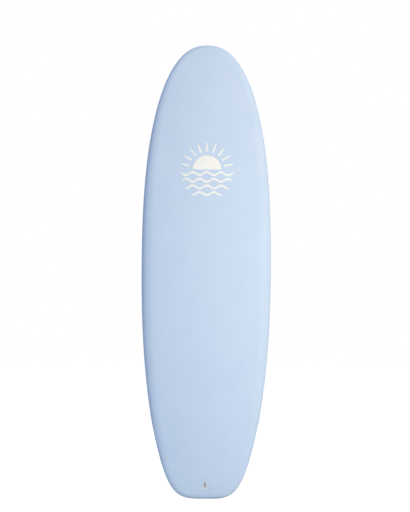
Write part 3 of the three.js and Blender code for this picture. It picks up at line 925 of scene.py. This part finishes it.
steelLook = {
    "screw": {"color": "b9bdc0", "other": "a3a8ac", "roughness": (0.18, 0.36)},
    # The pin's steel is darker than the screws': partly the steel's own tone, partly painted shade of the pin's shadow
    # deep in the recess.
    "pin": {"color": "a4a9ab", "other": "94999b", "roughness": (0.32, 0.46)},
    "grain": 0.0004, "grainHeight": 0.00001, "patch": 0.002,
}


def makeSteel(key):
    # Stainless steel with a fine tooled grain and a slight change of tone. The pin's copy is darker than the screws',
    # partly as painted shade of its shadow in the plug's recess.
    shared, look = steelLook, steelLook[key]
    material, tree, place = newMaterial(f"{key}Steel", Metallic=1.0)
    grain = grainHeight(tree, place, shared["grain"], 0.1)
    tint = driftColor(tree, place, look, shared["patch"], 0.8)
    return feedShader(material, tint, bumpNode(tree, grain, shared["grainHeight"]), grain, look["roughness"])


beadLook = {"color": "f1f1ec", "other": "e6e7e2", "joint": "cfd3d2", "bead": 0.0042, "height": 0.0004, "patch": 0.05}


def makeBeadFoam():
    # Cut bead foam: rounded cells with thin grey joints between them.
    look = beadLook
    material, tree, place = newMaterial("beadFoam", Roughness=0.7)
    edges = addNode(tree, "ShaderNodeTexVoronoi", {"Vector": place, "Scale": 1 / look["bead"]},
                    feature="DISTANCE_TO_EDGE").outputs["Distance"]
    cell = rangeNode(tree, edges, 0.0, 0.14, kind="SMOOTHSTEP")
    tint = driftColor(tree, place, look, look["patch"], 0.8)
    color = mixColors(tree, cell, linearColor(look["joint"]), tint)
    return feedShader(material, color, bumpNode(tree, cell, look["height"]))


woodLook = {"color": "d8b98c", "dark": "b98f5c", "ring": 0.0032, "pore": 0.0006, "poreDepth": 0.0001}


def makeWood():
    # Straight grain along the board: bands of noise drawn out in Z, with fine pores on them.
    look = woodLook
    material, tree, place = newMaterial("stringerWood", Roughness=0.55)
    drawn = stretchNode(tree, place, (1.0, 1.0, 0.03))
    bands = noiseNode(tree, drawn, 1 / look["ring"], Detail=3.0, Distortion=0.4)
    ring = mixColors(tree, rangeNode(tree, bands, 0.38, 0.62), linearColor(look["color"]), linearColor(look["dark"]))
    pores = grainHeight(tree, drawn, look["pore"], 0.3)
    return feedShader(material, ring, bumpNode(tree, pores, look["poreDepth"]))


inkLook = {"color": "faf8ef", "other": "f3f3eb", "patch": 0.02, "grainKept": 0.7, "roughness": (0.5, 0.62)}


def makeInk():
    # Screen-print ink: it keeps the foam's grain and thins a little in places.
    look = inkLook
    material, tree, place = newMaterial("deckPrint", Specular_IOR_Level=0.4)
    grain = grainHeight(tree, place, foamLook["grain"], 0.6)
    tint = driftColor(tree, place, look, look["patch"], 0.8)
    kept = bumpNode(tree, grain, foamLook["grainHeight"] * look["grainKept"])
    return feedShader(material, tint, kept, grain, look["roughness"])


foam, slick, nylon = makeFoam(), makeSlick(), makeFinNylon()
screwSteel, pinSteelPaintedShade = makeSteel("screw"), makeSteel("pin")
plugPlastic, boxPlastic = makeMoulded("plug"), makeMoulded("box")
beads, wood, ink = makeBeadFoam(), makeWood(), makeInk()
print("materials made")

# The pieces


def seated(name, grid, seat):
    # A piece whose grid is turned and moved to its seat.
    return pieceFromGrid(name, turned(grid, *seat))


def dipRoundPlug(grid):
    # Lets the foam down by a smooth step over a short reach round the plug's rim.
    look = plugLook
    matrix, place = plugSeat
    local = (grid - place) @ matrix
    half = look["width"] / 2
    straight = look["length"] / 2 - half
    away = np.hypot(local[..., 0], np.maximum(np.abs(local[..., 2]) - straight, 0)) - half
    share = np.clip(1 - away / look["foamDipReach"], 0, 1)
    drop = look["foamDip"] * share ** 2 * (3 - 2 * share)
    nearDeck = np.abs(local[..., 1]) < look["foamDipDepth"]
    return grid - np.where(nearDeck, drop, 0)[..., None] * matrix[:, 1]


deckGrid, deckUv = deckSkinGrid()
deckSkin = pieceFromGrid("deckFoamSkin", dipRoundPlug(deckGrid), deckUv)
plugDepth = plugLook["recessDepth"] + plugLook["floor"]
plugPocket = pocketGrid(plugOutline(), plugLook["ledge"], plugLook["flangeDepth"], plugDepth, plugLook["gap"])
combine(deckSkin, [seated("pocket", plugPocket, plugSeat)], "DIFFERENCE")
finishPiece(deckSkin, foam, "board", "deck_skin")
print("deck skin:", len(deckSkin.data.polygons), "faces")

finPlaces = []
for name, side in (("left", -1), ("centre", 0), ("right", 1)):
    inset = finLook["centreTailInset"] if side == 0 else finLook["sideTailInset"]
    z = inset + finLook["base"] / 2
    x = side * (halfWidth(z) - finLook["sideRailInset"])
    toe, cant = (math.radians(-side * finLook[key]) for key in ("toe", "cant"))
    finPlaces.append((name, side, bottomSeat(x, z, toe, 0), bottomSeat(x, z, toe, cant), cant))

bottomGrid, bottomUv = bottomSkinGrid()
bottomSkin = pieceFromGrid("slickBottomSkin", bottomGrid, bottomUv)
boxPocket = pocketGrid(boxOutline(), boxLook["ledge"], boxLook["flangeDepth"], boxDepth, finLook["gap"])
combine(bottomSkin, [seated("pocket", boxPocket, place[2]) for place in finPlaces], "DIFFERENCE")
finishPiece(bottomSkin, slick, "board", "bottom_skin")
print("bottom skin:", len(bottomSkin.data.polygons), "faces")

plug = seated("leashPlugCup", plugGrid(), plugSeat)
pinSeat = plugSeat[0], np.array(plugSeat[1]) - plugLook["pinDepth"] * plugSeat[0][:, 1]
pinBore = rod(plugLook["pinRadius"] + plugLook["gap"], cutterRise, 1, plugLook["pinSides"])
combine(plug, [seated("pinBore", pinBore, pinSeat)], "DIFFERENCE")
finishPiece(plug, plugPlastic, "board", "leash_plug")
pinLength = plugLook["width"] - 2 * plugLook["ledge"] - 2 * plugLook["gap"]
pinGrid = rod(plugLook["pinRadius"], pinLength, plugLook["pinBevel"], plugLook["pinSides"])
# The pin takes the darker steel that partly paints its shadow in the recess.
finishPiece(seated("leashPlugPin", pinGrid, pinSeat), pinSteelPaintedShade, "board", "leash_pin")
print("leash plug made")

for name, side, boxSeat, finSeat, cant in finPlaces:
    screwSide = side or 1
    lean = turnAbout("z", cant)
    box = seated(f"finBox_{name}", boxGrid(), boxSeat)
    cutters = []
    for along in tabPlaces:
        cutters.append(seated("slot", slotGrid(along) @ lean.T, boxSeat))
        bored = turned(boreGrid(), *screwSeat(screwSide, along))
        cutters.append(seated("bore", bored @ lean.T, boxSeat))
    combine(box, cutters, "DIFFERENCE")
    finishPiece(box, boxPlastic, "board", f"fin_box_{name}")

    baseLift = finLook["gap"] + math.tan(abs(cant)) * finLook["thickness"] / 2
    fin = seated(f"fin_{name}_blade", finGrid(-side, baseLift), finSeat)
    tabs = [seated("tab", tabGrid(along, baseLift), finSeat) for along in tabPlaces]
    combine(fin, tabs, "UNION")
    finishPiece(fin, nylon, f"fin_{name}", f"fin_{name}", 40)
    for end, along in zip(("rear", "front"), tabPlaces):
        screw = seated(f"screw_{name}_{end}_set", turned(screwGrid(), *screwSeat(screwSide, along)), finSeat)
        finishPiece(screw, screwSteel, f"screw_{name}_{end}", f"fin_screw_{name}_{end}")
print("fins, boxes and screws made")

finishPiece(pieceFromGrid("deckPrintSun", sunGrid()), ink, "board")
for count, grid in enumerate([*rayGrids(), *waveGrids()]):
    finishPiece(pieceFromGrid(f"deckPrintLine_{count}", grid), ink, "board")
print("deck print made")

for name, node in nodes.items():
    if name.startswith(("core_", "stringer_")):
        node.data.materials.clear()
        node.data.materials.append(beads if name.startswith("core_") else wood)

# Stage and lights

stageLook = {
    "floorSize": 30.0, "floorColor": 0.55,  # metres, share of light that comes back
    "seenWhite": 0.89, "seenShade": 0.4,    # what a camera ray gets as glow, and as lit floor
    "airColor": (0.88, 1.155, 1.775), "airStrength": 0.342,
}
lamps = [
    {"name": "keyLamp", "place": (1.4, -2.5, 1.4), "aim": (0, 0, 1.25), "size": 1.4, "power": 58.5,
     "color": (1.0, 0.872, 0.622)},
    {"name": "fillLamp", "place": (0.3, -2.4, 0.2), "aim": (0, 0, 0.1), "size": 1.2, "power": 6.6,
     "color": (0.3, 0.6, 1.0)},
    {"name": "backLamp", "place": (0.3, 4.4, 2.4), "aim": (0, 0, 1), "size": 3.6, "power": 116.0,
     "color": (1.0, 0.93, 0.76)},
    {"name": "rimLamp", "place": (0.65, 0, 3), "aim": (0, 0, 1.9), "size": 0.5, "power": 2.4,
     "color": (0.94, 0.98, 1.0)},
]


def seenRays(tree):
    # 1 for what the camera sees, straight or in gloss or glass.
    path = addNode(tree, "ShaderNodeLightPath").outputs
    seen = mathNode(tree, "ADD", path["Is Camera Ray"], path["Is Glossy Ray"])
    return mathNode(tree, "ADD", seen, path["Is Transmission Ray"], clamp=True)


def makeFloor():
    look = stageLook
    half = look["floorSize"] / 2
    mesh = bpy.data.meshes.new("paleFloor")
    mesh.from_pydata([(-half, -half, 0), (half, -half, 0), (half, half, 0), (-half, half, 0)], [], [(0, 1, 2, 3)])
    addObject("paleFloor", mesh)
    material, tree, _ = newMaterial("paleFloor", Roughness=0.9, Specular_IOR_Level=0.0, Emission_Color=(1, 1, 1, 1))
    shader = tree.nodes["Principled BSDF"]
    seen = seenRays(tree)
    shade = rangeNode(tree, seen, 0.0, 1.0, look["floorColor"], look["seenShade"])
    tree.links.new(shade, shader.inputs["Base Color"])
    tree.links.new(mathNode(tree, "MULTIPLY", seen, look["seenWhite"]), shader.inputs["Emission Strength"])
    under = addNode(tree, "ShaderNodeNewGeometry").outputs["Backfacing"]
    clear = addNode(tree, "ShaderNodeBsdfTransparent").outputs["BSDF"]
    mix = addNode(tree, "ShaderNodeMixShader", {0: under, 1: shader.outputs["BSDF"], 2: clear})
    tree.links.new(mix.outputs[0], tree.nodes["Material Output"].inputs["Surface"])
    mesh.materials.append(material)


def makeAir():
    look = stageLook
    world = bpy.data.worlds.new("studioAir")
    world.use_nodes = True
    tree = world.node_tree
    tree.nodes.clear()
    seen = seenRays(tree)
    glow = addNode(tree, "ShaderNodeBackground", {"Color": (*look["airColor"], 1), "Strength": look["airStrength"]})
    white = addNode(tree, "ShaderNodeBackground", {"Color": (1, 1, 1, 1), "Strength": 1.0})
    mix = addNode(tree, "ShaderNodeMixShader", {0: seen, 1: glow.outputs[0], 2: white.outputs[0]})
    addNode(tree, "ShaderNodeOutputWorld", {"Surface": mix.outputs[0]})
    bpy.context.scene.world = world


def makeLamp(lamp):
    data = bpy.data.lights.new(lamp["name"], "AREA")
    data.shape = "DISK"
    data.size = lamp["size"]
    data.energy = lamp["power"]
    data.color = lamp["color"]
    light = addObject(lamp["name"], data)
    light.location = lamp["place"]
    away = np.array(lamp["place"]) - np.array(lamp["aim"])
    light.rotation_euler = (math.acos(away[2] / np.linalg.norm(away)), 0, math.atan2(away[1], away[0]) + quarterTurn)


makeFloor()
makeAir()
for lamp in lamps:
    makeLamp(lamp)
bpy.context.scene.view_settings.view_transform = "Standard"
print("stage and lights set")
